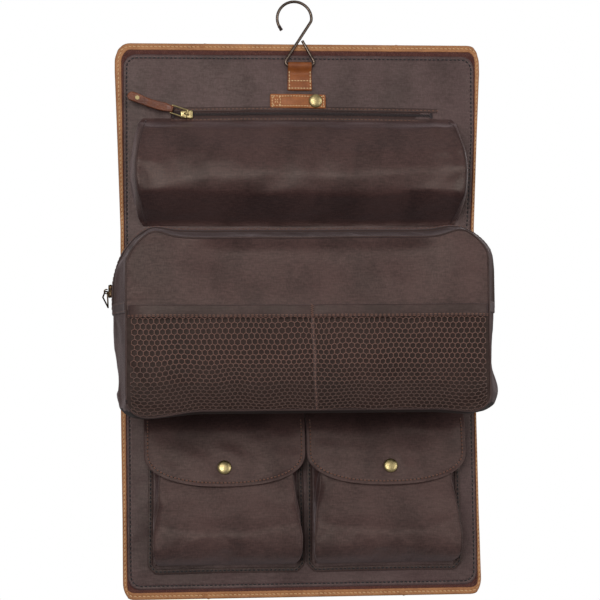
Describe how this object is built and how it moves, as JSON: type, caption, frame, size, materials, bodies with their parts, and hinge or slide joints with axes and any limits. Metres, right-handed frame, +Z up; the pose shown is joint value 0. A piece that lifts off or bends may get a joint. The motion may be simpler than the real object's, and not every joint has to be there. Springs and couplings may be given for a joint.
{
  "type": "hanging toiletry bag",
  "caption": "Open hanging toiletry bag: leather-backed folding panel with a zip pocket, a stuffed zip compartment with mesh front, snap flap pockets and a folding wire hook.",
  "frame": {"origin": "hook seat: the inner top of the wire hook's bend, in the hook's plane", "axes": "+X to the right as seen from the open front, +Y to the back (towards the wall it hangs on), +Z up"},
  "size_m": [0.3114, 0.0918, 0.4867],
  "materials": {
    "leather": "tan pull-up leather, semi-matt, darker in creases",
    "felt": "dark maroon felt, fuzzy",
    "lining": "dark purple-brown twill lining with a low sheen",
    "pocket_cloth": "dark olive-brown satin twill nylon, soft sheen",
    "mesh": "brown hexagonal netting",
    "zip_tape": "dark maroon woven tape",
    "zip_coil": "dark maroon nylon coil",
    "brass": "antique brass, worn bright on its high spots",
    "hook_steel": "gunmetal plated wire, glossy",
    "hook_cap": "black dipped tip"
  },
  "bodies": {
    "upper_section": {"hook_loop": "leather", "upper_leather_shell": "leather", "upper_felt": "felt", "upper_lining": "lining", "keeper_anchor": "leather", "keeper_snap_stud": "brass", "upper_pocket": "pocket_cloth", "upper_zip_tape": "zip_tape", "upper_zip_coil": "zip_coil", "upper_zip_stops": "brass"},
    "hook": {"hanging_hook": "hook_steel", "hook_tip": "hook_cap"},
    "keeper": {"keeper_strap": "leather", "keeper_snap_cap": "brass", "keeper_snap_socket": "brass"},
    "upper_slider": {"upper_zip_slider": "brass"},
    "upper_link": {"upper_zip_link": "brass"},
    "upper_puller": {"upper_zip_puller": "leather", "puller_rivet": "brass"},
    "middle_section": {"middle_leather_shell": "leather", "middle_felt": "felt", "middle_lining": "lining", "compartment_gusset": "pocket_cloth", "compartment_front": "pocket_cloth", "compartment_zip_tape": "zip_tape", "compartment_zip_coil": "zip_coil", "zip_end_bands": "pocket_cloth", "mesh_pocket": "mesh", "mesh_hem_band": "pocket_cloth", "mesh_divider": "pocket_cloth"},
    "side_slider": {"side_zip_slider": "brass"},
    "side_pull": {"side_zip_pull": "hook_steel"},
    "lower_section": {"lower_leather_shell": "leather", "lower_felt": "felt", "lower_lining": "lining", "left_pocket": "pocket_cloth", "right_pocket": "pocket_cloth", "pocket_snap_studs": "brass"},
    "left_flap": {"left_flap": "pocket_cloth", "left_snap_cap": "brass", "left_snap_socket": "brass"},
    "right_flap": {"right_flap": "pocket_cloth", "right_snap_cap": "brass", "right_snap_socket": "brass"}
  },
  "joints": [
    {"name": "hook_swing", "type": "hinge", "parent": "upper_section", "child": "hook", "pos_m": [0.004, 0, -0.0518], "axis": [1, 0, 0], "range_deg": [0, 158]},
    {"name": "keeper_open", "type": "hinge", "parent": "upper_section", "child": "keeper", "pos_m": [-0.01165, 0.0008, -0.0813], "axis": [0, 0, -1], "range_deg": [0, 150]},
    {"name": "upper_zip_slide", "type": "slide", "parent": "upper_section", "child": "upper_slider", "axis": [1, 0, 0], "range_m": [0, 0.193]},
    {"name": "upper_link_lift", "type": "hinge", "parent": "upper_slider", "child": "upper_link", "pos_m": [-0.089, -0.0028, -0.0928], "axis": [0.2924, 0, 0.9563], "range_deg": [0, 110]},
    {"name": "upper_puller_lift", "type": "hinge", "parent": "upper_link", "child": "upper_puller", "pos_m": [-0.10137, -0.00405, -0.08902], "axis": [0.2924, 0, 0.9563], "range_deg": [0, 45]},
    {"name": "upper_fold", "type": "hinge", "parent": "upper_section", "child": "middle_section", "pos_m": [0.0025, 0.0028, -0.186], "axis": [1, 0, 0], "range_deg": [-25, 0]},
    {"name": "lower_fold", "type": "hinge", "parent": "middle_section", "child": "lower_section", "pos_m": [0.0025, 0.0028, -0.334], "axis": [1, 0, 0], "range_deg": [-45, 0]},
    {"name": "side_zip_slide", "type": "slide", "parent": "middle_section", "child": "side_slider", "axis": [0, 0, 1], "range_m": [0, 0.03]},
    {"name": "side_pull_swing", "type": "hinge", "parent": "side_slider", "child": "side_pull", "pos_m": [-0.1537, -0.0372, -0.24], "axis": [0, 1, 0], "range_deg": [0, 60]},
    {"name": "left_flap_open", "type": "hinge", "parent": "lower_section", "child": "left_flap", "pos_m": [-0.0602, 0.0016, -0.3375], "axis": [-1, 0, 0], "range_deg": [0, 50]},
    {"name": "right_flap_open", "type": "hinge", "parent": "lower_section", "child": "right_flap", "pos_m": [0.0702, 0.0016, -0.3375], "axis": [-1, 0, 0], "range_deg": [0, 50]}
  ]
}
